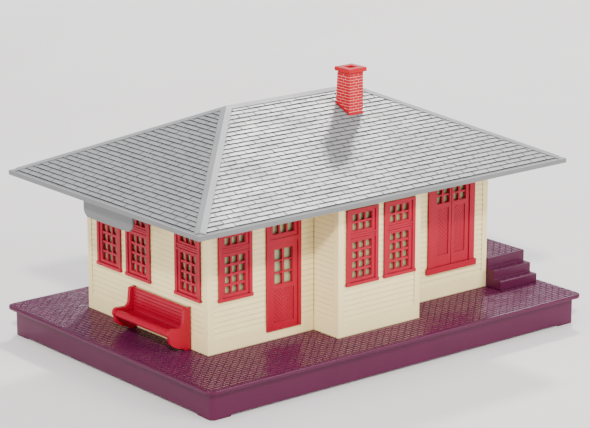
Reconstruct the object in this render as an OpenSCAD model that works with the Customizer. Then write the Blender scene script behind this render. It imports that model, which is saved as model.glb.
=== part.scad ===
// O-gauge railway station: brick-paved base, clapboard house with a bay, lift-off hip roof.
// Millimetres. +X runs along the long front wall, -Y is the front, +Z is up.
// The origin is on the ground under the middle of the base.

/* [Base] */
// Length of the base over its lip
base_l = 290; // [286:1:320]
// Depth of the base over its lip
base_d = 207; // [203:1:230]
// Height of the paved deck above the ground
base_h = 19; // [17:0.5:26]
// Thickness of the deck plate and its lip
lip_h = 2.6; // [2:0.1:3.2]
// Overhang of the lip beyond the skirt
lip_out = 3.8; // [2:0.1:5]
// Wall thickness of the skirt
skirt_t = 2.2; // [1.6:0.1:3]
// Length of each corner foot along the skirt
foot_len = 13; // [8:0.5:20]
// Height of the corner feet
foot_h = 1.1; // [0.6:0.1:2]

/* [House] */
// Length of the house over its end walls
house_l = 218; // [216:1:222]
// Depth of the house over its front and rear walls
house_d = 120; // [118:1:122]
// Distance the house stands behind the middle of the base
house_y = 6; // [4:0.5:7]
// Height of the walls above the deck
wall_h = 96; // [95:0.5:96]
// Wall thickness
wall_t = 2.2; // [2:0.1:2.4]
// Height of the plain base board
base_board_h = 9.3; // [8:0.1:11]
// Width of the plain corner boards
corner_w = 4.1; // [3:0.1:5]
// Number of clapboard courses above the base board
clap_n = 27; // [20:1:32]
// Depth of the step under each clapboard
clap_step = 0.45; // [0.2:0.05:0.6]

/* [Bay] */
// Width of the bay
bay_w = 63.6; // [62:0.2:66]
// Projection of the bay from the front wall
bay_out = 22.3; // [20:0.1:24]
// Middle of the bay along the front wall
bay_x = 1; // [-2:0.5:4]
// Distance between the bay's two windows, middle to middle
bay_window_gap = 28.9; // [27.1:0.2:29.9]

/* [Openings] */
// Width of a window over its casing
window_w = 24.2; // [23:0.2:26]
// Height of a window from the sill to the top of the casing
window_h = 46; // [44:0.5:47]
// Height of a window's sill above the deck
window_z = 30.6; // [28:0.2:32]
// Width of a passenger door over its casing
door_w = 25.6; // [24:0.2:27]
// Height of a passenger door over its casing
door_h = 70.8; // [68:0.2:72]
// Height of a passenger door's foot above the deck
door_z = 5.8; // [4:0.2:8]
// Width of a freight door over its casing
freight_w = 38.2; // [36:0.2:40]
// Height of a freight door from the sill to the top of the casing
freight_h = 59.8; // [57:0.2:61]
// Height of a freight door's sill above the deck
freight_z = 16.8; // [15:0.2:19]
// Distance the casings stand proud of the wall
casing_out = 1; // [0.6:0.1:1.4]

/* [Roof] */
// Half length of the roof over the eaves
eave_x = 141; // [138:1:143]
// Half depth of the roof over the eaves
eave_y = 95.5; // [94:0.5:98]
// Half length of the ridge
ridge_x = 48.5; // [44:0.5:52]
// Height of the roof surface at the eaves, above the ground
eave_z = 102.7; // [102.7:0.1:103.2]
// Height of the roof surface at the ridge, above the ground
ridge_z = 146; // [146:0.5:148]
// Thickness of the roof shell, measured upright
roof_t = 2.4; // [2:0.1:2.4]
// Width of the ridge and hip caps, seen from above
cap_w = 6.6; // [5:0.2:9]

/* [Chimney] */
// Width of the square stack
stack_w = 10.8; // [9:0.1:13]
// Middle of the chimney along the house
chimney_x = 30.5; // [20:0.5:38]
// Distance of the chimney in front of the ridge
chimney_front = 20.3; // [18:0.1:24]
// Height of the chimney top above the ground
chimney_top = 163.2; // [160:0.2:170]

/* [Platform] */
// Width of the freight platform, outwards from the end wall
platform_w = 31.5; // [28:0.5:32]
// Height of the freight platform above the deck
platform_h = 18.5; // [16.5:0.1:18.6]
// Height of the lower step above the deck
step_low = 5.7; // [4.5:0.1:6.5]
// Height of the upper step above the deck
step_high = 11.6; // [10:0.1:13]
// Depth of one step
tread = 5.9; // [5:0.1:7]

/* [Bench] */
// Length of the bench
bench_l = 56.2; // [40:0.2:60]
// Height of the bench
bench_h = 25.8; // [24:0.2:27]
// Middle of the bench along the end wall
bench_y = -10; // [-12:0.2:2]

/* [Hidden] */

$fn = 48;

plum = "#6e2a4e";
cream = "#efe3c4";
red = "#c3202f";
grey = "#b3b4b4";
clear = "#b9c3a4";
steel = "#a8a8a8";

eps = 0.01;
corner_r = 5;
front_y = house_y - house_d / 2;
rear_y = house_y + house_d / 2;
end_x = house_l / 2;
inner_x = end_x - wall_t;
wall_top = base_h + wall_h;
bay_y = front_y - bay_out;
clap_pitch = (wall_h - base_board_h) / clap_n;
slope_front = (ridge_z - eave_z) / eave_y;
slope_end = (ridge_z - eave_z) / (eave_x - ridge_x);
fascia_z = 100.7;
fascia_t = 1.6;
bead_w = 1.3;
bead_top = 103.5;
cap_t = 0.8;
roof_gap = 0.4;
lintel_z = 107;

// Places of the windows and doors along their walls
window_front_x = -89.2;
door_x = -53.8;
freight_x = 78.2;
bay_window_shift = 0.6;
windows_left_y = [-35.8, 13, 42.7];
windows_rear_x = [-89.2, -13, 17];
freight_end_y = 6;
freight_end_z = 18.7;

// Window insert
casing_w = 2.3;
sash_y = -0.35;
field_y = 0.1;
plug_t = 1.7;
hole_margin = 1.5;
pane_w = 3.9;
pane_h = 4.3;
pane_pitch_x = 5.2;
lower_rows = [6.2, 12.05, 17.9, 23.75];
upper_rows = [35, 40.6];
pane_rim = 0.25;
window_head = 1.7;
window_foot = 1.9;
// Mouldings across the middle of a window: low edge, high edge, distance out
mid_rails = [[27.3, 28.4, 0.85], [28.7, 29.9, 0.6], [30.2, 31.3, 0.85]];

// Grooves between the slanting boards of the doors
groove_w = 0.35;
groove_in = 0.25;

glass_t = 0.6;
post_r = 3.6;
post_off = 4.2;
post_h = 16;
screw_r = 1.3;
screw_hole_r = 1.6;
screw_head_r = 3;
screw_head_h = 1.8;
boss_h = 1.5;
boss_r = 4;
screw_in = 12;
peg_r = 1.1;
peg_out = 2.4;
peg_h = 2.2;
bench_end_t = 2.4;

// ---- general shapes ----

module bar(x0, x1, y0, y1, z0, z1) {
  translate([x0, y0, z0])
    cube([x1 - x0, y1 - y0, z1 - z0]);
}

module rounded_rect(l, d, r) {
  square([l - 2 * r, d], center = true);
  square([l, d - 2 * r], center = true);
  for (x = [-1, 1])
    for (y = [-1, 1])
      translate([x * (l / 2 - r), y * (d / 2 - r)])
        circle(r);
}

// An outline in Y and Z, drawn out along X from x0 to x1
module along_x(x0, x1) {
  translate([x0, 0, 0])
    rotate([90, 0, 90])
      linear_extrude(x1 - x0)
        children();
}

// An outline in X and Z, drawn out along Y from y0 to y1
module along_y(y0, y1) {
  translate([0, y1, 0])
    rotate([90, 0, 0])
      linear_extrude(y1 - y0)
        children();
}

function arc(cx, cy, r, a0, a1, n) =
  [for (i = [0:n]) let (a = a0 + (a1 - a0) * i / n) [cx + r * cos(a), cy + r * sin(a)]];

// ---- places on the walls: x along the wall, -y out of it, z up from the deck ----

module on_front(x) {
  translate([x, front_y, base_h])
    children();
}

module on_bay(x) {
  translate([x, bay_y, base_h])
    children();
}

module on_rear(x) {
  translate([x, rear_y, base_h])
    rotate([0, 0, 180])
      children();
}

module on_left(y) {
  translate([-end_x, y, base_h])
    rotate([0, 0, -90])
      children();
}

module on_right(y) {
  translate([end_x, y, base_h])
    rotate([0, 0, 90])
      children();
}

// ---- base ----

module foot_notch(half) {
  polygon([[-half, -1], [-half, 0], [-half + foot_h, foot_h],
    [half - foot_h, foot_h], [half, 0], [half, -1]]);
}

module at_screws() {
  for (x = [-1, 1])
    for (y = [front_y + wall_t + post_off, rear_y - wall_t - post_off])
      translate([x * (inner_x - post_off), y, 0])
        children();
}

module at_bench_pegs() {
  for (side = [-1, 1])
    translate([-end_x - peg_out, bench_y + side * (bench_l - bench_end_t) / 2, 0])
      children();
}

module base() {
  skirt_l = base_l - 2 * lip_out;
  skirt_d = base_d - 2 * lip_out;
  plate_z = base_h - lip_h;
  rib_h = 3;
  rib_t = 1.8;
  color(plum)
    difference() {
      union() {
        translate([0, 0, plate_z])
          linear_extrude(lip_h)
            rounded_rect(base_l, base_d, corner_r);
        difference() {
          linear_extrude(plate_z + eps)
            rounded_rect(skirt_l, skirt_d, corner_r);
          translate([0, 0, -1])
            linear_extrude(plate_z + 1)
              rounded_rect(skirt_l - 2 * skirt_t, skirt_d - 2 * skirt_t, corner_r - skirt_t);
          along_y(-base_d, base_d)
            foot_notch(skirt_l / 2 - foot_len);
          along_x(-base_l, base_l)
            foot_notch(skirt_d / 2 - foot_len);
        }
        for (x = [-70, 0, 70])
          bar(x - rib_t / 2, x + rib_t / 2, -skirt_d / 2 + 1, skirt_d / 2 - 1, plate_z - rib_h, plate_z + 1);
        bar(-skirt_l / 2 + 1, skirt_l / 2 - 1, -rib_t / 2, rib_t / 2, plate_z - rib_h, plate_z + 1);
        at_screws()
          translate([0, 0, plate_z - boss_h])
            cylinder(h = boss_h + 1, r = boss_r);
      }
      at_screws()
        cylinder(h = 2 * base_h, r = screw_hole_r);
      at_bench_pegs()
        cylinder(h = 2 * base_h, r = peg_r);
    }
}

module base_screws() {
  head_z = base_h - lip_h - boss_h - screw_head_h;
  color(steel)
    at_screws()
      translate([0, 0, head_z])
        difference() {
          union() {
            cylinder(h = screw_head_h, r = screw_head_r);
            cylinder(h = base_h + screw_in - head_z, r = screw_r);
          }
          bar(-2, 2, -0.3, 0.3, -1, 0.9);
          bar(-0.3, 0.3, -2, 2, -1, 0.9);
        }
}

// ---- freight platform and steps ----

step_back = 1.4;
step_tops = [platform_h, step_high, step_low];

function step_y(i) = front_y - step_back - i * tread;

module platform_outline(inset) {
  polygon([
    [step_y(2) + inset, -inset],
    [step_y(2) + inset, step_tops[2] - inset],
    [step_y(1) + inset, step_tops[2] - inset],
    [step_y(1) + inset, step_tops[1] - inset],
    [step_y(0) + inset, step_tops[1] - inset],
    [step_y(0) + inset, platform_h - inset],
    [rear_y - inset, platform_h - inset],
    [rear_y - inset, -inset]]);
}

module platform() {
  shell = 2;
  rib_t = 1.6;
  color(plum)
    translate([0, 0, base_h])
      union() {
        difference() {
          along_x(end_x, end_x + platform_w)
            platform_outline(0);
          along_x(end_x + shell, end_x + platform_w - shell)
            platform_outline(shell);
        }
        for (y = [-30, -5, 20, 44])
          bar(end_x + 1, end_x + platform_w - 1, y - rib_t / 2, y + rib_t / 2, 0, platform_h - 1);
      }
}

// ---- walls ----

// Saw-tooth outline of the clapboards: y is depth into the wall, z runs up from the deck
function clap_outline() = concat(
  [[wall_t, base_board_h]],
  [for (i = [0:clap_n - 1]) each [
    [0.1, base_board_h + i * clap_pitch],
    [0.1 + clap_step, base_board_h + (i + 1) * clap_pitch]]],
  [[wall_t, wall_h]]);

// A clad panel from x0 to x1 with its base board and a corner board at each end
module clad_panel(x0, x1, left_board, right_board) {
  along_x(x0 + left_board - eps, x1 - right_board + eps)
    polygon(clap_outline());
  bar(x0, x1, 0, wall_t, 0, base_board_h + eps);
  if (left_board > 0)
    bar(x0, x0 + left_board, 0, wall_t, 0, wall_h);
  if (right_board > 0)
    bar(x1 - right_board, x1, 0, wall_t, 0, wall_h);
}

// The hole that an insert's plug fills
module insert_hole(w, z, h) {
  bar(-w / 2 + hole_margin, w / 2 - hole_margin, -1, wall_t + 1, z + hole_margin, z + h - hole_margin);
}

module window_hole() {
  insert_hole(window_w, window_z, window_h);
}

module door_hole() {
  insert_hole(door_w, door_z, door_h);
}

module freight_hole(z) {
  insert_hole(freight_w, z, freight_h);
}

module wall_front() {
  color(cream)
    difference() {
      on_front(0)
        clad_panel(-inner_x, inner_x, corner_w - wall_t, corner_w - wall_t);
      on_front(window_front_x)
        window_hole();
      on_front(door_x)
        door_hole();
      on_front(freight_x)
        freight_hole(freight_z);
      on_front(bay_x)
        bar(-bay_w / 2, bay_w / 2, -1, wall_t + 1, -1, lintel_z - base_h);
    }
}

module wall_rear() {
  color(cream)
    difference() {
      on_rear(0)
        clad_panel(-inner_x, inner_x, corner_w - wall_t, corner_w - wall_t);
      for (x = windows_rear_x)
        on_rear(x)
          window_hole();
      on_rear(door_x)
        door_hole();
      on_rear(freight_x)
        freight_hole(freight_z);
    }
}

// Screw posts in the corners behind an end wall; side is -1 for left, 1 for right
module wall_posts(side) {
  for (y = [front_y + wall_t + post_off, rear_y - wall_t - post_off])
    translate([side * (inner_x - post_off), y, base_h])
      difference() {
        union() {
          cylinder(h = post_h, r = post_r);
          bar(side > 0 ? 0 : -post_off - eps, side > 0 ? post_off + eps : 0, -1, 1, 0, post_h);
        }
        translate([0, 0, -1])
          cylinder(h = post_h - 1, r = screw_r);
      }
}

module wall_left() {
  color(cream) {
    difference() {
      on_left(house_y)
        clad_panel(-house_d / 2, house_d / 2, corner_w, corner_w);
      for (y = windows_left_y)
        on_left(y)
          window_hole();
    }
    wall_posts(-1);
  }
}

module wall_right() {
  color(cream) {
    difference() {
      on_right(house_y)
        clad_panel(-house_d / 2, house_d / 2, corner_w, corner_w);
      on_right(freight_end_y)
        freight_hole(freight_end_z);
    }
    wall_posts(1);
  }
}

// Everything above the underside of the roof's front slope, less a small gap
module above_eaves() {
  low = eave_z - roof_t - roof_gap;
  along_x(-eave_x, eave_x)
    polygon([
      [house_y - eave_y, low],
      [house_y, low + slope_front * eave_y],
      [house_y, ridge_z + 40],
      [house_y - eave_y, ridge_z + 40]]);
}

function bay_window_x(side) = bay_x + bay_window_shift + side * bay_window_gap / 2;

module bay() {
  left = bay_x - bay_w / 2;
  right = bay_x + bay_w / 2;
  side_d = bay_out + wall_t;
  color(cream)
    difference() {
      union() {
        difference() {
          on_bay(0)
            clad_panel(left, right, corner_w, corner_w);
          for (side = [-1, 1])
            on_bay(bay_window_x(side))
              window_hole();
        }
        translate([left, bay_y, base_h])
          rotate([0, 0, -90])
            clad_panel(-side_d, 0, 0, corner_w);
        translate([right, bay_y, base_h])
          rotate([0, 0, 90])
            clad_panel(0, side_d, corner_w, 0);
      }
      above_eaves();
      bar(left - 1, right + 1, front_y, front_y + wall_t + 1, lintel_z, ridge_z);
    }
}

// ---- window and door inserts ----

// Casing boards around an insert, with a plug behind them that fills the wall's hole
module casing(w, h, side, head, foot) {
  difference() {
    union() {
      bar(-w / 2, w / 2, -casing_out, 0, 0, h);
      bar(-w / 2 + hole_margin, w / 2 - hole_margin, -eps, plug_t, hole_margin, h - hole_margin);
    }
    bar(-w / 2 + side, w / 2 - side, -casing_out - 1, sash_y, foot, h - head);
  }
}

// Through holes for panes, with the bars between them set back from the sash
module panes(columns, rows, w, h, rim) {
  x_far = max(columns) + w / 2 + rim;
  x_near = min(columns) - w / 2 - rim;
  z_low = min(rows) - h / 2 - rim;
  z_high = max(rows) + h / 2 + rim;
  bar(x_near, x_far, -3, field_y, z_low, z_high);
  for (x = columns)
    for (z = rows)
      bar(x - w / 2, x + w / 2, -3, 3, z - h / 2, z + h / 2);
}

module sill(w, h, out) {
  bar(-w / 2, w / 2, -out, 0, 0, h);
}

module window_insert() {
  columns = [-pane_pitch_x, 0, pane_pitch_x];
  rail_half = window_w / 2 - casing_w + eps;
  color(red)
    translate([0, 0, window_z]) {
      difference() {
        casing(window_w, window_h, casing_w, window_head, window_foot);
        panes(columns, lower_rows, pane_w, pane_h, pane_rim);
        panes(columns, upper_rows, pane_w, pane_h, pane_rim);
      }
      sill(window_w + 0.8, window_foot, casing_out + 0.4);
      for (rail = mid_rails)
        bar(-rail_half, rail_half, -rail[2], 0, rail[0], rail[1]);
    }
}

// Grooves between slanting boards: rise is +1 or -1, x0 to x1 wide, z0 to z1 high
module board_grooves(x0, x1, z0, z1, pitch, rise) {
  reach = x1 - x0;
  intersection() {
    bar(x0, x1, -3, 3, z0, z1);
    for (z = [z0 - reach : pitch : z1 + reach])
      along_y(-3, field_y + groove_in)
        polygon([[x0, z], [x1, z + rise * reach], [x1, z + rise * reach + groove_w], [x0, z + groove_w]]);
  }
}

module door_insert() {
  leaf = door_w / 2 - casing_w + eps;
  panel = 7.6;
  panel_low = 4.4;
  panel_high = 24.6;
  board_pitch = 2.3;
  half_gap = 0.3;
  columns = [-3.65, 3.65];
  rows = [30.7, 38, 45.3];
  transom_columns = [-5.5, 0, 5.5];
  transom_row = 61.6;
  color(red)
    translate([0, 0, door_z]) {
      difference() {
        casing(door_w, door_h, casing_w, window_head, 0.8);
        panes(transom_columns, [transom_row], 4.3, 7.2, pane_rim);
        panes(columns, rows, 5.6, 6.4, pane_rim);
        bar(-panel, panel, -3, field_y, panel_low, panel_high);
        board_grooves(-panel, -half_gap, panel_low, panel_high, board_pitch, -1);
        board_grooves(half_gap, panel, panel_low, panel_high, board_pitch, 1);
      }
      bar(-leaf, leaf, -0.9, 0, 52.6, 55.2);
      bar(-leaf, leaf, -0.65, 0, 51.6, 52.6 + eps);
    }
}

module freight_insert(z) {
  panel_in = 2.3;
  panel_out = 11.3;
  panel_low = 10.6;
  panel_high = 40.4;
  board_pitch = 2.4;
  half_gap = 0.2;
  leaf = 14.8;
  sill_h = 3.8;
  head = 2.2;
  color(red)
    translate([0, 0, z]) {
      difference() {
        casing(freight_w, freight_h, freight_w / 2 - leaf, head, sill_h);
        for (side = [-1, 1]) {
          x0 = side > 0 ? panel_in : -panel_out;
          x1 = side > 0 ? panel_out : -panel_in;
          panes([side * 3.95, side * 9.65], [45.7, 51.1], 4.1, 4.3, pane_rim);
          bar(x0, x1, -3, field_y, panel_low, panel_high);
          board_grooves(x0, x1, panel_low, panel_high, board_pitch, side);
        }
        bar(-half_gap, half_gap, -3, field_y, sill_h, freight_h - head);
      }
      sill(freight_w + 2.6, sill_h, casing_out + 0.7);
    }
}

module window_front() {
  on_front(window_front_x)
    window_insert();
}

module window_bay_left() {
  on_bay(bay_window_x(-1))
    window_insert();
}

module window_bay_right() {
  on_bay(bay_window_x(1))
    window_insert();
}

module window_left_front() {
  on_left(windows_left_y[0])
    window_insert();
}

module window_left_middle() {
  on_left(windows_left_y[1])
    window_insert();
}

module window_left_back() {
  on_left(windows_left_y[2])
    window_insert();
}

module window_rear_1() {
  on_rear(windows_rear_x[0])
    window_insert();
}

module window_rear_2() {
  on_rear(windows_rear_x[1])
    window_insert();
}

module window_rear_3() {
  on_rear(windows_rear_x[2])
    window_insert();
}

module door_front() {
  on_front(door_x)
    door_insert();
}

module door_rear() {
  on_rear(door_x)
    door_insert();
}

module freight_door_front() {
  on_front(freight_x)
    freight_insert(freight_z);
}

module freight_door_rear() {
  on_rear(freight_x)
    freight_insert(freight_z);
}

module freight_door_end() {
  on_right(freight_end_y)
    freight_insert(freight_end_z);
}

// ---- clear sheets glued behind the inserts ----

// Extents of the sheets: height above the deck, and reach past the panes of an insert
glass_low = 30;
glass_high = 79;
freight_glass_low = 54;
glass_reach = 12.2;
freight_reach = 17;

module sheet(x0, x1, z0, z1) {
  color(clear, 0.5)
    bar(x0, x1, wall_t, wall_t + glass_t, z0, z1);
}

module glazing_front() {
  on_front(0)
    sheet(window_front_x - glass_reach, door_x + glass_reach, glass_low, glass_high);
}

module glazing_bay() {
  half = bay_w / 2 - wall_t - 1;
  on_bay(bay_x)
    sheet(-half, half, glass_low, glass_high);
}

module glazing_freight() {
  on_front(freight_x)
    sheet(-freight_reach, freight_reach, freight_glass_low, glass_high);
}

module glazing_left() {
  half = house_d / 2 - 6;
  on_left(house_y)
    sheet(-half, half, glass_low, glass_high);
}

module glazing_right() {
  lift = freight_end_z - freight_z;
  on_right(freight_end_y)
    sheet(-freight_reach, freight_reach, freight_glass_low + lift, glass_high + lift);
}

module glazing_rear_left() {
  on_rear(0)
    sheet(-windows_rear_x[2] - glass_reach, -windows_rear_x[0] + glass_reach, glass_low, glass_high);
}

module glazing_rear_right() {
  on_rear(freight_x)
    sheet(-freight_reach, freight_reach, freight_glass_low, glass_high);
}

// ---- bench ----

// Outline of a bench end: d is the distance out from the wall, z is up
function bench_end_outline() = concat(
  [[0.3, 0], [4.6, 0], [5.1, 1.4]],
  arc(5.6, 14.6, 12.6, -74, -42, 5),
  arc(13.6, 11.9, 2.9, -48, 92, 10),
  [[9.4, 14.5]],
  arc(8.2, 17.3, 2.9, 270, 184, 6),
  [[4.6, bench_h - 1.6]],
  arc(3.2, bench_h - 1.6, 1.4, 0, 90, 4),
  [[0.3, bench_h]]);

// Slatted back and seat, as one outline
back_foot = [2.5, 12.4];
back_pitch = 2.1;
seat_lip = [11.9, 11.7];
seat_pitch = 2.2;
slat_gap = 0.35;

function slat_back(n) = [for (i = [0:n - 1]) let (z = back_foot[1] + i * back_pitch) each [
  [back_foot[0], z],
  [back_foot[0], z + back_pitch - slat_gap],
  [back_foot[0] - slat_gap, z + back_pitch - slat_gap],
  [back_foot[0] - slat_gap, z + back_pitch]]];

function slat_seat(n) = [for (i = [0:n - 1]) let (d = seat_lip[0] - i * seat_pitch) each [
  [d, seat_lip[1]],
  [d - seat_pitch + slat_gap, seat_lip[1]],
  [d - seat_pitch + slat_gap, seat_lip[1] - slat_gap],
  [d - seat_pitch, seat_lip[1] - slat_gap]]];

function bench_seat_outline() = concat(
  [[1, 9.6], [12.4, 8.9]],
  arc(13.6, 11.4, 2.3, -120, 100, 10),
  slat_seat(4),
  slat_back(6),
  [[2, bench_h - 0.4], [1, bench_h - 0.4]]);

module bench() {
  half = bench_l / 2;
  color(red)
    translate([-end_x, bench_y, base_h])
      mirror([1, 0, 0])
        union() {
          for (side = [-1, 1])
            along_y(side > 0 ? half - bench_end_t : -half, side > 0 ? half : -half + bench_end_t)
              polygon(bench_end_outline());
          along_y(-half + 1, half - 1)
            polygon(bench_seat_outline());
          for (side = [-1, 1])
            translate([peg_out, side * (bench_l - bench_end_t) / 2, -peg_h])
              cylinder(h = peg_h + 0.2, r = peg_r);
        }
}

// ---- roof ----

// The roof as a solid hip shape: raised by lift, with its eaves set in, above the level low
module hip_solid(lift, inset, low) {
  top = ridge_z + lift;
  edge_x = eave_x - inset;
  edge_y = eave_y - inset;
  z_end = eave_z + lift + inset * slope_end;
  z_front = eave_z + lift + inset * slope_front;
  intersection() {
    along_x(-edge_x, edge_x)
      polygon([
        [house_y - edge_y, low], [house_y + edge_y, low],
        [house_y + edge_y, z_front], [house_y, top], [house_y - edge_y, z_front]]);
    along_y(house_y - edge_y, house_y + edge_y)
      polygon([
        [-edge_x, low], [edge_x, low], [edge_x, z_end],
        [ridge_x, top], [-ridge_x, top], [-edge_x, z_end]]);
  }
}

// Bands seen from above that the ridge and hip caps cover
module cap_bands() {
  run_x = eave_x - ridge_x;
  run = sqrt(run_x * run_x + eave_y * eave_y);
  lead = 4.4;
  translate([0, house_y])
    square([2 * ridge_x, cap_w], center = true);
  for (sx = [-1, 1])
    for (sy = [-1, 1])
      translate([sx * ridge_x, house_y])
        rotate(atan2(sy * eave_y, sx * run_x))
          translate([0, -cap_w / 2])
            square([run - lead, cap_w]);
}

module frame_ring(x_out, y_out, t, z0, z1) {
  difference() {
    bar(-x_out, x_out, house_y - y_out, house_y + y_out, z0, z1);
    bar(-x_out + t, x_out - t, house_y - y_out + t, house_y + y_out - t, z0 - 1, z1 + 1);
  }
}

plug_w = 7.6;
stack_lean = 0.06;
stack_back = 0.6;
plug_low = 128;
plug_gap = 2;

// The square through which the chimney's plug passes into the roof
module chimney_plug(low) {
  y = house_y - chimney_front;
  bar(chimney_x - plug_w / 2, chimney_x + plug_w / 2, y - plug_w / 2, y + plug_w / 2, low, ridge_z);
}

module roof() {
  locate_t = 1.8;
  locate_gap = 0.4;
  locate_h = 5;
  ring_high = wall_top + 6;
  color(grey)
    difference() {
      union() {
        difference() {
          union() {
            hip_solid(0, 0, fascia_z);
            intersection() {
              hip_solid(cap_t, 0, fascia_z);
              translate([0, 0, fascia_z])
                linear_extrude(60)
                  cap_bands();
            }
            frame_ring(eave_x, eave_y, bead_w, fascia_z, bead_top);
          }
          hip_solid(-roof_t, fascia_t, fascia_z - 5);
        }
        intersection() {
          union() {
            frame_ring(end_x, house_d / 2, wall_t + locate_gap + 1, wall_top, ring_high);
            frame_ring(inner_x - locate_gap, house_d / 2 - wall_t - locate_gap, locate_t,
              wall_top - locate_h, ring_high);
          }
          hip_solid(-1, 0, fascia_z);
        }
      }
      chimney_plug(plug_low);
    }
}

// A block around the chimney's middle; its rear face lies back further down
module stack_block(w, low, high, deeper = 0) {
  back = w / 2 + deeper + (chimney_top - low) * stack_lean;
  translate([chimney_x, house_y - chimney_front, 0])
    bar(-w / 2, w / 2, -w / 2, back, low, high);
}

module chimney() {
  courses = 18;
  course_h = 1.77;
  joint = 0.3;
  chimney_cap_w = 13.8;
  chimney_cap_h = 2.5;
  neck_h = 1.2;
  flue_w = 6;
  flue_deep = 4;
  foot_band = 0.5;
  cap_low = chimney_top - chimney_cap_h;
  brick_top = cap_low - neck_h;
  color(red) {
    difference() {
      union() {
        stack_block(stack_w - 2 * joint, brick_top - courses * course_h, brick_top, stack_back);
        for (i = [1:courses])
          stack_block(stack_w, brick_top - i * course_h + joint, brick_top - (i - 1) * course_h,
            stack_back);
        intersection() {
          stack_block(stack_w, brick_top - courses * course_h, brick_top, stack_back);
          hip_solid(foot_band, 0, fascia_z);
        }
        stack_block(stack_w, brick_top - eps, cap_low);
        stack_block(chimney_cap_w, cap_low, chimney_top);
      }
      hip_solid(0, 0, fascia_z);
      stack_block(flue_w, chimney_top - flue_deep, chimney_top + 1);
    }
    intersection() {
      chimney_plug(plug_low + plug_gap);
      hip_solid(foot_band, 0, fascia_z);
    }
  }
}

// A board with rounded lower corners that hangs under an end eave; side is -1 for left
module sign_board(side) {
  width = 48.8;
  low = 88.9;
  r = 5.4;
  x_out = 135.4;
  board_t = 1.5;
  reach_up = 20;
  color(grey)
    intersection() {
      along_x(side > 0 ? x_out - board_t : -x_out, side > 0 ? x_out : -x_out + board_t)
        union() {
          translate([house_y - width / 2, low + r])
            square([width, reach_up]);
          translate([house_y - width / 2 + r, low])
            square([width - 2 * r, reach_up]);
          for (corner = [-1, 1])
            translate([house_y + corner * (width / 2 - r), low + r])
              circle(r);
        }
      hip_solid(-roof_t, fascia_t, low - 1);
    }
}

module sign_board_left() {
  sign_board(-1);
}

module sign_board_right() {
  sign_board(1);
}

base();
platform();
bench();
wall_front();
wall_rear();
wall_left();
wall_right();
bay();
window_front();
window_bay_left();
window_bay_right();
window_left_front();
window_left_middle();
window_left_back();
window_rear_1();
window_rear_2();
window_rear_3();
door_front();
door_rear();
freight_door_front();
freight_door_rear();
freight_door_end();
glazing_front();
glazing_bay();
glazing_freight();
glazing_left();
glazing_right();
glazing_rear_left();
glazing_rear_right();
base_screws();
roof();
chimney();
sign_board_left();
sign_board_right();
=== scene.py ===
"""Looks for the O-gauge railway station: paving, shingles, chimney bricks and moulded plastic.

Lengths are metres. MM turns millimetres into metres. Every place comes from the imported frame.
"""

import math
import random

import bmesh
import bpy
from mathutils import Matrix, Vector


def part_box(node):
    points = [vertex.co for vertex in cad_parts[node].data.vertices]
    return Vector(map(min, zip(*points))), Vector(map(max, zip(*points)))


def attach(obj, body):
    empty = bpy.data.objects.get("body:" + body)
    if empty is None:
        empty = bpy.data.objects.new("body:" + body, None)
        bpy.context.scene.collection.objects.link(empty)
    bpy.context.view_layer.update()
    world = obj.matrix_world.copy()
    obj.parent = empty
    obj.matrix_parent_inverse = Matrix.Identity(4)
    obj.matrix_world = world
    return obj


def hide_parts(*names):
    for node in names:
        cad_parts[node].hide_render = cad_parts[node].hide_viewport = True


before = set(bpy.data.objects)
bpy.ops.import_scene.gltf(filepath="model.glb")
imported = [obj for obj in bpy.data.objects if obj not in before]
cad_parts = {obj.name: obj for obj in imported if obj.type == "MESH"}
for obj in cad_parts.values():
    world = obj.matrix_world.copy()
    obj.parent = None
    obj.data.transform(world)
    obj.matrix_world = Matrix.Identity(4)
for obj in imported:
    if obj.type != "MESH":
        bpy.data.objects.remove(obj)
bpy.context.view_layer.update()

MM = 0.001
rng = random.Random(7)

# ---- sizes that the boxes of the nodes don't give ----

# Base: lip, skirt, corner feet and the ribs under the deck

LIP_OUT = 3.8 * MM
LIP_H = 2.6 * MM
SKIRT_T = 2.2 * MM
FOOT_LEN = 13 * MM
FOOT_H = 1.1 * MM
CORNER_R = 5 * MM
RIB_H = 3 * MM
RIB_T = 1.8 * MM

# Paving: a brick and its joints, the bare strip round it, and the platform's steps over the deck
BRICK_L = 5.56 * MM
BRICK_W = 2.70 * MM
BRICK_JOINT = 0.48 * MM
ROW_JOINT = 0.95 * MM
BRICK_RISE = 0.30 * MM
PAVING_MARGIN = 1.25 * MM
BRICK_LEAST = 0.8 * MM
PAVING_START = 3.5 * MM
TREAD = 5.9 * MM
STEP_HIGH = 11.6 * MM
STEP_LOW = 5.7 * MM
STEP_EDGE = 0.8 * MM

# Roof: eave over the roof's lowest point, ridge and hip caps, and the shingles
EAVE_RISE = 2.0 * MM
CAP_RISE = 0.8 * MM
CAP_HALF = 3.3 * MM
RIDGE_HALF = 48.5 * MM
COURSES = 28.6
FIRST_COURSE = 2.55 * MM
EAVE_RUN = 95.5 * MM
SHINGLE_W = 12.0 * MM
SHINGLE_JOINT_X = -101.5 * MM
END_SHINGLE_W = 12.35 * MM
END_SHINGLE_START = 5.2 * MM
SHINGLE_BUTT = 0.55 * MM
SHINGLE_THIN = 0.16 * MM
SHINGLE_GAP = 0.50 * MM

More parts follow.
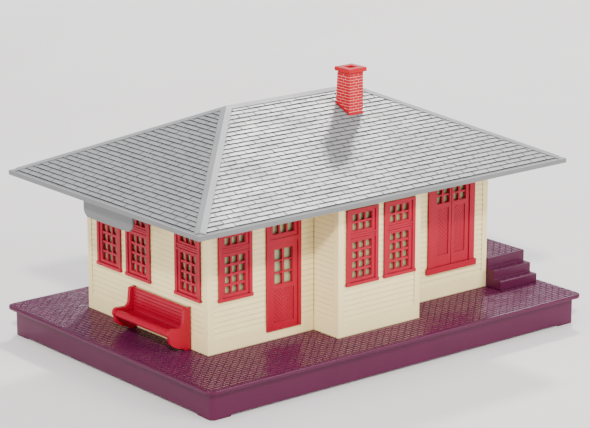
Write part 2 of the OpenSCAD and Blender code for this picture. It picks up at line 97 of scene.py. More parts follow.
# Chimney: STACK_SUNK sets the core between the bricks back, and STACK_LEAN is how far the rear face
# lies back per metre
STACK_COURSE = 1.77 * MM
STACK_CAP_H = 2.5 * MM
STACK_NECK_H = 1.2 * MM
STACK_OUT = 1.5 * MM
STACK_LEAN = 0.06
STACK_BACK = 0.6 * MM
STACK_H = 27 * MM
STACK_SUNK = -0.22 * MM
STACK_JOINT = 0.32 * MM
BRICK_THICK = 1.2 * MM
PLUG_HALF = 3.8 * MM
FLUE_HALF = 3.0 * MM
BAND_OUT = 0.15 * MM
BAND_UP = 1.7 * MM

# Camera on the side and at the height that show the front and the left end
CAMERA_AT = Vector((-0.8862, -1.0889, 0.4569))
CAMERA_TILT = math.radians(90 - 15.286)
CAMERA_TURN = math.radians(-39.103)
CAMERA_LENS = 145.6


def lo(node):
    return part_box(node)[0]


def hi(node):
    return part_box(node)[1]


# ---- mesh helpers ----


def add_solid(bm, rings, cap_first=True, cap_last=True):
    """Joins rings of points, each the same length, into one closed skin."""
    rows = [[bm.verts.new(p) for p in ring] for ring in rings]
    n = len(rows[0])
    for a, b in zip(rows, rows[1:]):
        for i in range(n):
            j = (i + 1) % n
            bm.faces.new((a[i], a[j], b[j], b[i]))
    if cap_first:
        bm.faces.new(list(reversed(rows[0])))
    if cap_last:
        bm.faces.new(rows[-1])
    return rows


def add_block(bm, low, high, chamfer=0.0):
    """A box with chamfered top and bottom edges and corners."""
    c = chamfer
    x0, y0, z0 = low
    x1, y1, z1 = high

    def ring(d, z):
        return [
            (x0 + d, y0 + c + d, z),
            (x0 + c + d, y0 + d, z),
            (x1 - c - d, y0 + d, z),
            (x1 - d, y0 + c + d, z),
            (x1 - d, y1 - c - d, z),
            (x1 - c - d, y1 - d, z),
            (x0 + c + d, y1 - d, z),
            (x0 + d, y1 - c - d, z),
        ]

    add_solid(bm, [ring(c, z0), ring(0, z0 + c), ring(0, z1 - c), ring(c, z1)])


def make_object(name, bm, material, body, smooth=None):
    bmesh.ops.recalc_face_normals(bm, faces=bm.faces)
    mesh = bpy.data.meshes.new(name)
    bm.to_mesh(mesh)
    bm.free()
    piece = bpy.data.objects.new(name, mesh)
    bpy.context.scene.collection.objects.link(piece)
    mesh.materials.append(material)
    if smooth is not None:
        mesh.shade_smooth()
        mesh.set_sharp_from_angle(angle=math.radians(smooth))
    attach(piece, body)
    return piece


def finish_cad(node, material, width, segments=2):
    """Gives a CAD node its material, and rounds its edges with modifiers."""
    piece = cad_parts[node]
    piece.data.materials.clear()
    piece.data.materials.append(material)
    weld = piece.modifiers.new("weld", "WELD")
    weld.merge_threshold = 0.002 * MM
    planes = piece.modifiers.new("planes", "DECIMATE")
    planes.decimate_type = "DISSOLVE"
    planes.angle_limit = math.radians(0.5)
    bevel = piece.modifiers.new("bevel", "BEVEL")
    bevel.width = width
    bevel.segments = segments
    bevel.limit_method = "ANGLE"
    bevel.angle_limit = math.radians(30)
    bevel.use_clamp_overlap = True
    normals = piece.modifiers.new("normals", "WEIGHTED_NORMAL")
    normals.keep_sharp = True


# ---- materials ----


class Nodes:
    """A short way to write a node tree: each call makes a node and links its inputs."""

    def __init__(self, name):
        self.material = bpy.data.materials.new(name)
        self.material.use_nodes = True
        self.tree = self.material.node_tree
        self.tree.nodes.clear()
        self.place = self.node("ShaderNodeTexCoord").outputs["Object"]
        self.geometry = self.node("ShaderNodeNewGeometry")

    def node(self, kind, inputs=None, **settings):
        made = self.tree.nodes.new(kind)
        for key, value in settings.items():
            setattr(made, key, value)
        for key, value in (inputs or {}).items():
            if isinstance(value, bpy.types.NodeSocket):
                self.tree.links.new(value, made.inputs[key])
            else:
                made.inputs[key].default_value = value
        return made

    def noise(self, scale, detail=3, rough=0.55, stretch=None):
        place = self.place
        if stretch:
            place = self.node("ShaderNodeMapping", {0: place, 3: stretch}).outputs[0]
        made = self.node(
            "ShaderNodeTexNoise",
            {"Vector": place, "Scale": scale, "Detail": detail, "Roughness": rough},
        )
        return made.outputs["Fac"]

    def ramp(self, value, low, high, out_low=0.0, out_high=1.0):
        made = self.node(
            "ShaderNodeMapRange", {0: value, 1: low, 2: high, 3: out_low, 4: out_high}
        )
        return made.outputs[0]

    def math(self, operation, a, b=0.0):
        return self.node("ShaderNodeMath", {0: a, 1: b}, operation=operation).outputs[0]

    def mix(self, share, a, b):
        made = self.node("ShaderNodeMix", data_type="RGBA")
        for key, value in (("Factor", share), ("A", a), ("B", b)):
            slot = [s for s in made.inputs if s.name == key and s.enabled][-1]
            if isinstance(value, bpy.types.NodeSocket):
                self.tree.links.new(value, slot)
            else:
                slot.default_value = value
        return [s for s in made.outputs if s.enabled][-1]

    def edges(self, radius):
        """About 1 on convex and concave edges, 0 on flat faces."""
        rounded = self.node("ShaderNodeBevel", {0: radius}, samples=6).outputs[0]
        along = self.node(
            "ShaderNodeVectorMath",
            {0: rounded, 1: self.geometry.outputs["Normal"]},
            operation="DOT_PRODUCT",
        )
        return self.ramp(along.outputs["Value"], 0.995, 0.86)

    def hollows(self, distance, deepest=0.35):
        """About 1 in corners and grooves, 0 in the open."""
        made = self.node("ShaderNodeAmbientOcclusion", {"Distance": distance}, samples=8)
        return self.ramp(made.outputs["AO"], 0.93, deepest)

    def shader(self, **inputs):
        named = {key.replace("_", " "): value for key, value in inputs.items()}
        made = self.node("ShaderNodeBsdfPrincipled", named)
        self.node("ShaderNodeOutputMaterial", {0: made.outputs[0]})
        return self.material


def shade(rgb, k):
    return tuple(min(1.0, c * k) for c in rgb) + (1.0,)


def moulded_plastic(
    name,
    rgb,
    rough,
    painted_shade=0.5,
    deep=0.5,
    deepest=0.35,
    wear=0.5,
    reach=1.6,
    island=0.0,
    gloss=0.5,
    sides=None,
):
    """Coloured moulded plastic: soft blotches, mould grain, painted shade in hollows and on slanted
    faces, rubbed edges.

    painted_shade is the share of the darker colour, painted shade, in hollows and on slanted faces,
    deep how dark that is, reach their width in mm and deepest the openness at which a hollow is at its
    darkest. island varies loose bits.
    sides gives the upward slant of faces at which the painted shade starts, and where it is full.
    """
    n = Nodes(name)
    blotch = n.noise(38, 4)
    fine = n.noise(1500, 2)
    speck = n.noise(900, 4, 0.7)
    colour = n.mix(n.ramp(blotch, 0.3, 0.7), shade(rgb, 0.94), shade(rgb, 1.05))
    colour = n.mix(n.ramp(fine, 0.35, 0.65, 0.0, 0.08), colour, shade(rgb, 0.85))
    colour = n.mix(n.ramp(speck, 0.68, 0.76, 0.0, 0.1), colour, shade(rgb, 0.7))
    if island:
        each = n.geometry.outputs["Random Per Island"]
        colour = n.mix(n.ramp(each, 0.0, 1.0, 0.0, island), colour, shade(rgb, 0.72))
    hollow = n.hollows(reach * MM, deepest)
    edge = n.edges(0.25 * MM)
    rub = n.math("MULTIPLY", edge, n.ramp(n.noise(300, 4, 0.65), 0.4, 0.62, 0.25, 1.0))
    pale = tuple(0.75 * c + 0.25 * max(max(rgb) * 1.1, 0.3) for c in rgb)
    # Painted shade: the colour darkens towards shade(rgb, deep) in hollows and grooves.
    colour = n.mix(n.math("MULTIPLY", hollow, painted_shade), colour, shade(rgb, deep))
    # Painted shade: faces turned away from up, as set by sides, are darkened the same way.
    if sides:
        slant = n.node("ShaderNodeSeparateXYZ", {0: n.geometry.outputs["Normal"]}).outputs["Z"]
        slant_shade = n.math("MULTIPLY", n.ramp(slant, sides[0], sides[1]), painted_shade)
        colour = n.mix(slant_shade, colour, shade(rgb, deep))
    colour = n.mix(n.math("MULTIPLY", rub, wear * 0.5), colour, shade(pale, 1.1))
    rough_here = n.ramp(n.noise(70, 3), 0.3, 0.7, rough * 0.88, rough * 1.12)
    rough_here = n.math("ADD", rough_here, n.math("MULTIPLY", hollow, 0.12))
    height = n.math("ADD", n.math("MULTIPLY", fine, 0.5), n.noise(240, 2))
    bump = n.node(
        "ShaderNodeBump", {"Height": height, "Strength": 0.3, "Distance": 0.012 * MM}
    ).outputs[0]
    return n.shader(
        Base_Color=colour, Roughness=rough_here, Normal=bump, IOR=1.46, Specular_IOR_Level=gloss
    )


def clear_sheet(name, rgb):
    """Milky clear sheet with faint ripples and dust."""
    n = Nodes(name)
    cloud = n.noise(55, 3)
    colour = n.mix(n.ramp(cloud, 0.3, 0.7), shade(rgb, 0.78), shade(rgb, 1.2))
    dust = n.noise(700, 4, 0.7)
    colour = n.mix(n.ramp(dust, 0.6, 0.75, 0.0, 0.3), colour, shade(rgb, 0.55))
    ripple = n.node(
        "ShaderNodeBump", {"Height": n.noise(70, 2), "Strength": 0.5, "Distance": 0.25 * MM}
    ).outputs[0]
    rough_here = n.ramp(dust, 0.4, 0.7, 0.08, 0.3)
    return n.shader(
        Base_Color=colour, Roughness=rough_here, Normal=ripple, IOR=1.49, Transmission_Weight=0.12
    )


def plated_steel(name):
    n = Nodes(name)
    scratch = n.noise(900, 3, 0.6, stretch=(1.0, 1.0, 0.05))
    colour = n.mix(n.ramp(scratch, 0.3, 0.7), (0.52, 0.51, 0.49, 1), (0.68, 0.67, 0.65, 1))
    # Painted shade: dark brown in the screws' hollows.
    colour = n.mix(n.math("MULTIPLY", n.hollows(1 * MM), 0.7), colour, (0.12, 0.1, 0.08, 1))
    rough_here = n.ramp(scratch, 0.3, 0.7, 0.28, 0.45)
    bump = n.node(
        "ShaderNodeBump", {"Height": scratch, "Strength": 0.3, "Distance": 0.02 * MM}
    ).outputs[0]
    return n.shader(Base_Color=colour, Metallic=1.0, Roughness=rough_here, Normal=bump)


PLUM = (0.078, 0.005, 0.034)
PLUM_PAVING = (0.125, 0.009, 0.060)
CREAM = (1.000, 0.800, 0.400)
RED = (0.385, 0.002, 0.022)
BRICK_RED = (0.520, 0.003, 0.014)
# Pale pink of the core seen in the chimney's joints: a painted highlight for the glint along the
# joints.
JOINT_GLINT = (0.960, 0.300, 0.270)
GREY = (0.285, 0.288, 0.290)
GREY_SIGN = (0.165, 0.167, 0.169)

plum = moulded_plastic("plum_plastic", PLUM, 0.32, wear=0.4, painted_shade=0.35, gloss=0.3)
# Painted shade: the bricks' sides and the hollows between them are darkened strongly.
plum_paving = moulded_plastic(
    "plum_paving",
    PLUM_PAVING,
    0.25,
    painted_shade=1.0,
    deep=0.1,
    deepest=0.6,
    wear=0.9,
    reach=0.9,
    island=0.4,
    gloss=0.25,
    sides=(0.8, 0.3),
)
# Painted shade: downward faces, such as the clapboards' lower edges, and the hollows are darkened.
cream = moulded_plastic(
    "cream_plastic",
    CREAM,
    0.45,
    painted_shade=0.85,
    deep=0.28,
    deepest=0.6,
    wear=0.15,
    reach=0.7,
    gloss=0.25,
    sides=(-0.3, -0.8),
)
red = moulded_plastic("red_plastic", RED, 0.33, painted_shade=0.6, deep=0.3, wear=0.35, gloss=0.25)
red_chimney = moulded_plastic(
    "chimney_plastic", BRICK_RED, 0.34, painted_shade=0.2, wear=0.4, island=0.3, gloss=0.2
)
# Painted highlight: the chimney core between the bricks gets a pale pink that stands for the glint on
# the joints.
joint_glint = moulded_plastic("joint_glint_plastic", JOINT_GLINT, 0.5, painted_shade=0.0, wear=0.1)
# Painted shade: upright faces such as the fascia, and the hollows, are darkened.
grey = moulded_plastic(
    "grey_plastic", GREY, 0.42, painted_shade=0.5, deep=0.25, wear=0.35, gloss=0.4, sides=(0.5, 0.1)
)
grey_sign = moulded_plastic(
    "sign_plastic", GREY_SIGN, 0.42, painted_shade=0.5, deep=0.4, wear=0.35, gloss=0.3
)
# Painted shade: the shingles' butts and the gaps between shingles are darkened nearly to black.
grey_shingle = moulded_plastic(
    "shingle_plastic",
    GREY,
    0.42,
    painted_shade=1.0,
    deep=0.04,
    deepest=0.62,
    wear=0.8,
    reach=0.9,
    island=0.2,
    sides=(0.72, 0.4),
)
pane = clear_sheet("pane_sheet", (0.33, 0.38, 0.19))
steel = plated_steel("screw_steel")

# ---- base ----

cad_lo, cad_hi = lo("base"), hi("base")
deck = cad_hi.z
plate = deck - LIP_H


def rounded_loop(half_x, half_y, r, z, foot=False):
    """Points round a rounded rectangle. Where foot is true, the loop rises between the corner feet."""
    points = []
    steps = 8
    full_x = cad_hi.x - LIP_OUT
    full_y = cad_hi.y - LIP_OUT
    ends_x = [full_x - FOOT_LEN, full_x - FOOT_LEN - FOOT_H]
    ends_y = [full_y - FOOT_LEN, full_y - FOOT_LEN - FOOT_H]
    rises = [0.0, FOOT_H if foot else 0.0]
    for corner in range(4):
        sx = (1, -1, -1, 1)[corner]
        sy = (1, 1, -1, -1)[corner]
        for i in range(steps + 1):
            a = math.radians(90 * corner + 90 * i / steps)
            points.append(
                (sx * (half_x - r) + r * math.cos(a), sy * (half_y - r) + r * math.sin(a), z)
            )
        along_x = corner % 2 == 0
        order = [(0, 1), (1, 1), (1, -1), (0, -1)]
        for k, side in order:
            if along_x:
                points.append((sx * side * ends_x[k], sy * half_y, z + rises[k]))
            else:
                points.append((sx * half_x, sy * side * ends_y[k], z + rises[k]))
    return points


def build_base():
    bm = bmesh.new()
    profile = [
        (LIP_OUT + SKIRT_T, plate, False),
        (LIP_OUT + SKIRT_T, 0.3 * MM, True),
        (LIP_OUT + SKIRT_T - 0.3 * MM, 0.0, True),
        (LIP_OUT + 0.3 * MM, 0.0, True),
        (LIP_OUT, 0.3 * MM, True),
        (LIP_OUT, plate - 0.6 * MM, False),
        (LIP_OUT - 0.5 * MM, plate - 0.05 * MM, False),
        (0.75 * MM, plate, False),
        (0.22 * MM, plate + 0.2 * MM, False),
        (0.0, plate + 0.7 * MM, False),
        (0.0, deck - 0.75 * MM, False),
        (0.18 * MM, deck - 0.25 * MM, False),
        (0.55 * MM, deck - 0.03 * MM, False),
        (0.95 * MM, deck, False),
    ]
    rings = []
    for inset, z, foot in profile:
        r = CORNER_R - inset * 0.55
        rings.append(rounded_loop(cad_hi.x - inset, cad_hi.y - inset, r, z, foot))
    add_solid(bm, rings)
    inner_x = cad_hi.x - LIP_OUT - 1 * MM
    inner_y = cad_hi.y - LIP_OUT - 1 * MM
    for x in (-70 * MM, 0.0, 70 * MM):
        low = (x - RIB_T / 2, -inner_y, plate - RIB_H)
        add_block(bm, low, (x + RIB_T / 2, inner_y, plate + 1 * MM), 0.2 * MM)
    low = (-inner_x, -RIB_T / 2, plate - RIB_H)
    add_block(bm, low, (inner_x, RIB_T / 2, plate + 1 * MM), 0.2 * MM)
    screws_lo, screws_hi = lo("base_screws"), hi("base_screws")
    head = 3 * MM
    for x in (screws_lo.x + head, screws_hi.x - head):
        for y in (screws_lo.y + head, screws_hi.y - head):
            rings = []
            for r, z in ((3.8, -1.5), (4.0, -1.3), (4.0, 0.4), (4.6, 1.0)):
                rings.append(
                    [
                        (x + r * MM * math.cos(a), y + r * MM * math.sin(a), plate + z * MM)
                        for a in [math.tau * i / 32 for i in range(32)]
                    ]
                )
            add_solid(bm, rings)
    piece = make_object("base_shell", bm, plum, "station", smooth=40)
    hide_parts("base")


# ---- paving ----


def big_enough(rect):
    """True where a brick is left once its joints are taken off."""
    wide = rect[2] - rect[0] > BRICK_JOINT + BRICK_LEAST
    return wide and rect[3] - rect[1] > ROW_JOINT + BRICK_LEAST


def minus(rects, hole):
    """Rectangles less one rectangle; each is (x0, y0, x1, y1)."""
    kept = []
    hx0, hy0, hx1, hy1 = hole
    for x0, y0, x1, y1 in rects:
        if x1 <= hx0 or x0 >= hx1 or y1 <= hy0 or y0 >= hy1:
            kept.append((x0, y0, x1, y1))
            continue
        kept.append((x0, y0, min(x1, hx0), y1))
        kept.append((max(x0, hx1), y0, x1, y1))
        kept.append((max(x0, hx0), y0, min(x1, hx1), min(y1, hy0)))
        kept.append((max(x0, hx0), max(y0, hy1), min(x1, hx1), y1))
    return [r for r in kept if big_enough(r)]


def paving_bricks(field, holes, z, row0, joint0):
    """Bricks in running bond over a field: rows start from row0, joints from joint0."""
    bm = bmesh.new()
    x0, y0, x1, y1 = field
    first = math.floor((y0 - row0) / BRICK_W + 0.01)
    last = math.ceil((y1 - row0) / BRICK_W - 0.01)
    for row in range(first, last):
        ya = max(y0, row0 + row * BRICK_W)
        yb = min(y1, row0 + (row + 1) * BRICK_W)
        shift = joint0 + (0.5 * BRICK_L if row % 2 else 0.0)
        start = math.floor((x0 - shift) / BRICK_L)
        stop = math.ceil((x1 - shift) / BRICK_L)
        for k in range(start, stop):
            xa = max(x0, shift + k * BRICK_L)
            xb = min(x1, shift + (k + 1) * BRICK_L)
            rects = [(xa, ya, xb, yb)] if big_enough((xa, ya, xb, yb)) else []
            for hole in holes:
                rects = minus(rects, hole)
            for r in rects:
                add_brick(bm, r, z)
    return bm


def add_brick(bm, rect, z):
    """One raised brick: sides buried in the deck, a rounded edge and a faintly tilted top."""
    end, side = BRICK_JOINT / 2, ROW_JOINT / 2
    x0, y0, x1, y1 = rect[0] + end, rect[1] + side, rect[2] - end, rect[3] - side
    top = BRICK_RISE * rng.uniform(0.88, 1.12)
    tilt_x = rng.uniform(-1, 1) * 0.02 * MM
    tilt_y = rng.uniform(-1, 1) * 0.02 * MM
    cx, cy = (x0 + x1) / 2, (y0 + y1) / 2
    hx, hy = (x1 - x0) / 2, (y1 - y0) / 2

    def ring(inset, h, tilt):
        ring_points = []
        for sx, sy in ((-1, -1), (1, -1), (1, 1), (-1, 1)):
            lift = h + tilt * (sx * tilt_x + sy * tilt_y)
            ring_points.append((cx + sx * (hx - inset), cy + sy * (hy - inset), z + lift))
        return ring_points

    add_solid(
        bm,
        [
            ring(0.0, -0.12 * MM, 0),
            ring(0.0, 0.05 * MM, 0),
            ring(0.12 * MM, 0.72 * top, 1),
            ring(0.36 * MM, top, 1),
        ],
    )


def build_paving():
    front, rear = lo("wall_left").y, hi("wall_left").y
    left, right = lo("wall_left").x, hi("wall_right").x
    bay = (lo("bay").x, lo("bay").y, hi("bay").x, front + 1 * MM)
    house = (left, front, right, rear)
    dock = (right - 1 * MM, lo("platform").y, hi("platform").x, hi("platform").y)
    field = (
        cad_lo.x + PAVING_MARGIN,
        cad_lo.y + PAVING_MARGIN,
        cad_hi.x - PAVING_MARGIN,
        cad_hi.y - PAVING_MARGIN,
    )
    bm = paving_bricks(field, [house, bay, dock], deck, field[1], PAVING_START)
    make_object("paving_deck", bm, plum_paving, "station")
    top = hi("platform").z
    x0, x1 = right, hi("platform").x - STEP_EDGE
    y0 = lo("platform").y
    y1 = y0 + TREAD
    y2 = y0 + 2 * TREAD
    flats = [
        ("paving_platform", (x0, y2 + STEP_EDGE, x1, rear - STEP_EDGE), top),
        ("paving_step_high", (x0, y1 + STEP_EDGE, x1, y2), deck + STEP_HIGH),
        ("paving_step_low", (x0, y0 + STEP_EDGE, x1, y1), deck + STEP_LOW),
    ]
    for name, flat, z in flats:
        bm = paving_bricks(flat, [], z, flat[1], PAVING_START)
        make_object(name, bm, plum_paving, "station")


# ---- roof ----


def clip(polygon, point, inward):
    """The part of a flat polygon on the inward side of a line."""
    kept = []
    for i, p in enumerate(polygon):
        q = polygon[(i + 1) % len(polygon)]
        dp = (p[0] - point[0]) * inward[0] + (p[1] - point[1]) * inward[1]
        dq = (q[0] - point[0]) * inward[0] + (q[1] - point[1]) * inward[1]
        if dp >= 0:
            kept.append(p)
        if (dp > 0 > dq) or (dp < 0 < dq):
            t = dp / (dp - dq)
            kept.append((p[0] + t * (q[0] - p[0]), p[1] + t * (q[1] - p[1])))
    return kept


def area(polygon):
    n = len(polygon)
    return 0.5 * abs(
        sum(
            polygon[i][0] * polygon[(i + 1) % n][1] - polygon[(i + 1) % n][0] * polygon[i][1]
            for i in range(n)
        )
    )


def shingle_slope(name, corner, along, inward, length, run, rise, hip_run, width, joint0):
    """One roof slope: shingles in running bond, each a wedge that is thick at its lower edge.

    s runs along the eave from the corner, t runs in from the eave, both seen from above.
    hip_run is how far along the eave each hip has come when it reaches the ridge.
    """
    bm = bmesh.new()
    hip = Vector((hip_run, run)).normalized()
    hip_in = (hip.y, -hip.x)
    far_in = (-hip.y, -hip.x)
    cover = CAP_HALF - 0.5 * MM
    left_at = (cover * hip_in[0], cover * hip_in[1])
    right_at = (length - cover * hip_in[0], cover * hip_in[1])
    top_t = run - (CAP_HALF - 0.5 * MM if hip_run < length / 2 - 1 * MM else 0)
    start = FIRST_COURSE * run / EAVE_RUN
    pitch = (run - start) / COURSES

    def at(s, t, h):
        p = Vector(corner) + Vector(along) * s + Vector(inward) * t
        return (p.x, p.y, corner[2] + rise * t / run + h)

    row = 0
    while start + row * pitch < top_t:
        t0 = start + row * pitch
        t1 = t0 + pitch + 0.15 * MM
        shift = joint0 + (0.5 * width if row % 2 else 0.0)
        first = math.floor(-shift / width)
        last = math.ceil((length - shift) / width)
        for k in range(first, last):
            wander = rng.uniform(-1, 1) * 0.07 * MM
            s0 = shift + k * width + SHINGLE_GAP / 2
            s1 = shift + (k + 1) * width - SHINGLE_GAP / 2
            slip = rng.uniform(-0.04, 0.05) * MM
            cell = [(s0 + wander, t0 + slip), (s1, t0 + slip), (s1, t1), (s0 + wander, t1)]
            cell = clip(cell, left_at, hip_in)
            cell = clip(cell, right_at, far_in) if cell else cell
            cell = clip(cell, (0, top_t), (0, -1)) if cell else cell
            if len(cell) < 3 or area(cell) < 0.4 * MM * MM:
                continue
            butt = SHINGLE_BUTT * rng.uniform(0.86, 1.12)
            lean = rng.uniform(-1, 1) * 0.05 * MM

            def height(s, t):
                up = (t - t0) / (t1 - t0)
                side = (s - s0) / (s1 - s0) - 0.5
                return SHINGLE_THIN + (1 - up) * (butt + lean * side)

            middle = Vector((sum(p[0] for p in cell), sum(p[1] for p in cell))) / len(cell)
            inner = []
            for s, t in cell:
                toward = middle - Vector((s, t))
                step = min(0.12 * MM / max(toward.length, 1e-9), 0.4)
                inner.append((s + toward.x * step, t + toward.y * step))
            add_solid(
                bm,
                [
                    [at(s, t, -0.15 * MM) for s, t in cell],
                    [at(s, t, max(height(s, t) - 0.1 * MM, 0.0)) for s, t in cell],
                    [at(s, t, height(s, t)) for s, t in inner],
                ],
            )
        row += 1
    return make_object(name, bm, grey_shingle, "roof")


def build_roof():
    roof_lo, roof_hi = lo("roof"), hi("roof")
    eave = roof_lo.z + EAVE_RISE
    rise = roof_hi.z - CAP_RISE - eave
    size_x = roof_hi.x - roof_lo.x
    size_y = roof_hi.y - roof_lo.y
    run_y = size_y / 2
    run_x = size_x / 2 - RIDGE_HALF
    front_start = (SHINGLE_JOINT_X - roof_lo.x) % SHINGLE_W
    long_slope = (size_x, run_y, rise, run_x, SHINGLE_W, front_start)
    end_slope = (size_y, run_x, rise, run_y, END_SHINGLE_W, END_SHINGLE_START)
    x0, y0, x1, y1 = roof_lo.x, roof_lo.y, roof_hi.x, roof_hi.y
    shingle_slope("shingles_front", (x0, y0, eave), (1, 0, 0), (0, 1, 0), *long_slope)
    shingle_slope("shingles_rear", (x1, y1, eave), (-1, 0, 0), (0, -1, 0), *long_slope)
    shingle_slope("shingles_left", (x0, y1, eave), (0, -1, 0), (1, 0, 0), *end_slope)
    shingle_slope("shingles_right", (x1, y0, eave), (0, 1, 0), (-1, 0, 0), *end_slope)


# ---- chimney ----


def build_chimney():
    low, high = lo("chimney"), hi("chimney")
    cx = (low.x + high.x) / 2
    half = (high.x - low.x) / 2 - STACK_OUT
    front = low.y + STACK_OUT
    cy = front + half
    cap_low = high.z - STACK_CAP_H
    neck_low = cap_low - STACK_NECK_H
    roof_top = high.z - STACK_H

    def square(out, z):
        """A square ring; the rear side lies back further down, as in the part."""
        back = cy + half + out + (STACK_BACK if z < neck_low else 0.0) + (high.z - z) * STACK_LEAN
        x0, x1, y0 = cx - half - out, cx + half + out, front - out
        return [(x0, y0, z), (x1, y0, z), (x1, back, z), (x0, back, z)]

    def plug(r, z):
        return [(cx - r, cy - r, z), (cx + r, cy - r, z), (cx + r, cy + r, z), (cx - r, cy + r, z)]

    bm = bmesh.new()
    add_solid(
        bm,
        [
            plug(PLUG_HALF - 0.3 * MM, low.z),
            plug(PLUG_HALF, low.z + 0.4 * MM),
            plug(PLUG_HALF, roof_top + 4 * MM),
        ],
    )
    add_solid(bm, [square(STACK_SUNK, roof_top), square(STACK_SUNK, neck_low - 0.05 * MM)])
    # The core shows in the joints in the pale colour of the painted highlight.
    make_object("chimney_core", bm, joint_glint, "roof")
    bm = bmesh.new()
    add_solid(
        bm,
        [
            square(STACK_SUNK, neck_low - 0.1 * MM),
            square(-0.1 * MM, neck_low + 0.05 * MM),
            square(0.0, neck_low + 0.2 * MM),
            square(0.0, cap_low - 0.2 * MM),
            square(STACK_OUT - 0.2 * MM, cap_low),
            square(STACK_OUT, cap_low + 0.2 * MM),
            square(STACK_OUT, high.z - 0.2 * MM),
            square(STACK_OUT - 0.2 * MM, high.z),
            plug(FLUE_HALF + 0.2 * MM, high.z),
            plug(FLUE_HALF, high.z - 0.2 * MM),
            plug(FLUE_HALF - 0.1 * MM, high.z - 3.4 * MM),
        ],
    )
    slope = (hi("roof").z - CAP_RISE - lo("roof").z - EAVE_RISE) / (hi("roof").y - lo("roof").y) * 2
    foot_back = cy + half + STACK_BACK + (high.z - roof_top) * STACK_LEAN * 0.92

    def band(out, lift):
        """A ring round the foot of the stack that follows the slope of the roof."""
        ring = []
        for x, y in (
            (cx - half - out, front - out),
            (cx + half + out, front - out),
            (cx + half + out, foot_back + out),
            (cx - half - out, foot_back + out),
        ):
            ring.append((x, y, lo("roof").z + EAVE_RISE + (y - lo("roof").y) * slope + lift))
        return ring

    rings = [
        band(-0.8 * MM, -1.5 * MM),
        band(BAND_OUT, -1.5 * MM),
        band(BAND_OUT, BAND_UP - 0.2 * MM),
        band(-0.8 * MM, BAND_UP),
    ]
    add_solid(bm, rings + [rings[0]], cap_first=False, cap_last=False)
    course = 0
    z1 = neck_low
    while z1 > roof_top + STACK_COURSE:
        z0 = z1 - STACK_COURSE
        back = cy + half + STACK_BACK + (high.z - z0) * STACK_LEAN
        sides = (
            ((cx - half, front), (1, 0), 2 * half),
            ((cx + half, front), (0, 1), back - front),
            ((cx + half, back), (-1, 0), 2 * half),
            ((cx - half, back), (0, -1), back - front),
        )
        for side, (start, run, length) in enumerate(sides):
            through = (course + side) % 2 == 0
            if through:
                splits = [0.0, length / 3, length * 2 / 3, length]
            else:
                splits = [BRICK_THICK, length / 2, length - BRICK_THICK]
            for k in range(len(splits) - 1):
                a = splits[k] + (0.0 if through and k == 0 else STACK_JOINT / 2)
                b = splits[k + 1] - (0.0 if through and k == len(splits) - 2 else STACK_JOINT / 2)
                out = rng.uniform(-0.03, 0.03) * MM
                ends = []
                for u, v in ((a, -out), (b, BRICK_THICK)):
                    x = start[0] + run[0] * u - run[1] * v
                    y = start[1] + run[1] * u + run[0] * v
                    ends.append((x, y))
                xs = sorted(p[0] for p in ends)
                ys = sorted(p[1] for p in ends)
                low_corner = (xs[0], ys[0], z0 + STACK_JOINT / 2)
                add_block(bm, low_corner, (xs[1], ys[1], z1 - STACK_JOINT / 2), 0.12 * MM)
        z1 = z0
        course += 1
    piece = make_object("chimney_bricks", bm, red_chimney, "roof")
    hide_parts("chimney")


# ---- carried-over CAD nodes ----


def finish_nodes():
    for node in ("wall_front", "wall_rear", "wall_left", "wall_right", "bay"):
        finish_cad(node, cream, 0.12 * MM)
    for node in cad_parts:
        if node.startswith(("window_", "door_", "freight_door_")):
            finish_cad(node, red, 0.1 * MM)
        if node.startswith("glazing_"):
            finish_cad(node, pane, 0.05 * MM, 1)
        if node.startswith("sign_board_"):
            finish_cad(node, grey_sign, 0.3 * MM)
    finish_cad("bench", red, 0.16 * MM)
    finish_cad("platform", plum, 0.35 * MM)
    finish_cad("roof", grey, 0.22 * MM)
    finish_cad("base_screws", steel, 0.08 * MM)


# ---- stage ----


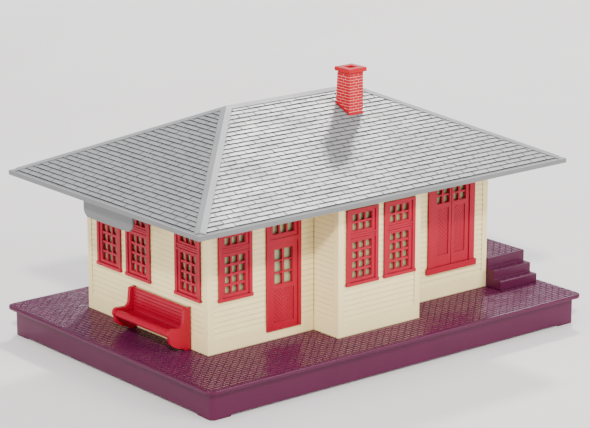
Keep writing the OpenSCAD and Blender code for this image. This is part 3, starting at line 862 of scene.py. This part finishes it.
def build_stage():
    bm = bmesh.new()
    reach, depth, wall = 6.0, 2.2, 3.0
    bend = 0.9
    profile = [(-reach, 0.0), (depth, 0.0)]
    for i in range(1, 13):
        a = math.radians(90 * i / 12)
        profile.append((depth + bend * math.sin(a), bend * (1 - math.cos(a))))
    profile.append((depth + bend, wall))
    turn = CAMERA_TURN
    rows = []
    for side in (-reach, reach):
        row = []
        for along, z in profile:
            x = side * math.cos(turn) - along * math.sin(turn)
            y = side * math.sin(turn) + along * math.cos(turn)
            row.append(bm.verts.new((x, y, z)))
        rows.append(row)
    for i in range(len(profile) - 1):
        bm.faces.new((rows[0][i], rows[1][i], rows[1][i + 1], rows[0][i + 1]))
    mesh = bpy.data.meshes.new("studio_floor")
    bm.to_mesh(mesh)
    bm.free()
    mesh.shade_smooth()
    floor = bpy.data.objects.new("studio_floor", mesh)
    bpy.context.scene.collection.objects.link(floor)
    n = Nodes("floor_paper")
    height = n.node("ShaderNodeSeparateXYZ", {0: n.place}).outputs["Z"]
    warm = n.mix(n.ramp(n.noise(3, 3), 0.3, 0.7), (0.82, 0.78, 0.76, 1), (0.88, 0.85, 0.83, 1))
    colour = n.mix(n.ramp(height, 0.0, 0.5), warm, (0.74, 0.77, 0.86, 1))
    mesh.materials.append(n.shader(Base_Color=colour, Roughness=0.75))


def area_light(name, at, target, size, power, colour):
    data = bpy.data.lights.new(name, "AREA")
    data.shape = "DISK"
    data.size = size
    data.energy = power
    data.color = colour
    lamp = bpy.data.objects.new(name, data)
    lamp.location = at
    lamp.rotation_euler = (Vector(target) - Vector(at)).to_track_quat("-Z", "Y").to_euler()
    bpy.context.scene.collection.objects.link(lamp)


def build_lights_and_camera():
    middle = (0, 0, 0.08)
    area_light("key", (1.55, 1.30, 1.72), middle, 0.24, 54, (1.0, 0.98, 0.95))
    area_light("front_left", (-1.7, -2.1, 2.1), middle, 0.3, 108, (1.0, 0.985, 0.96))
    area_light("fill_front", (1.2, -2.4, 0.9), middle, 1.8, 60, (1.0, 0.98, 0.97))
    area_light("fill_left", (-2.4, -0.3, 0.55), middle, 1.2, 28, (1.0, 0.98, 0.96))
    area_light("top", (0.0, 0.2, 2.4), middle, 1.6, 24, (0.97, 0.98, 1.0))
    world = bpy.data.worlds.new("studio")
    bpy.context.scene.world = world
    world.use_nodes = True
    background = world.node_tree.nodes["Background"]
    background.inputs[0].default_value = (0.80, 0.83, 0.92, 1)
    background.inputs[1].default_value = 0.55
    data = bpy.data.cameras.new("camera")
    data.lens = CAMERA_LENS
    data.sensor_width = 36
    data.clip_start = 0.05
    camera = bpy.data.objects.new("camera", data)
    camera.location = CAMERA_AT
    camera.rotation_euler = (CAMERA_TILT, 0, CAMERA_TURN)
    bpy.context.scene.collection.objects.link(camera)
    bpy.context.scene.camera = camera


build_base()
build_paving()
build_roof()
build_chimney()
finish_nodes()
build_stage()
build_lights_and_camera()
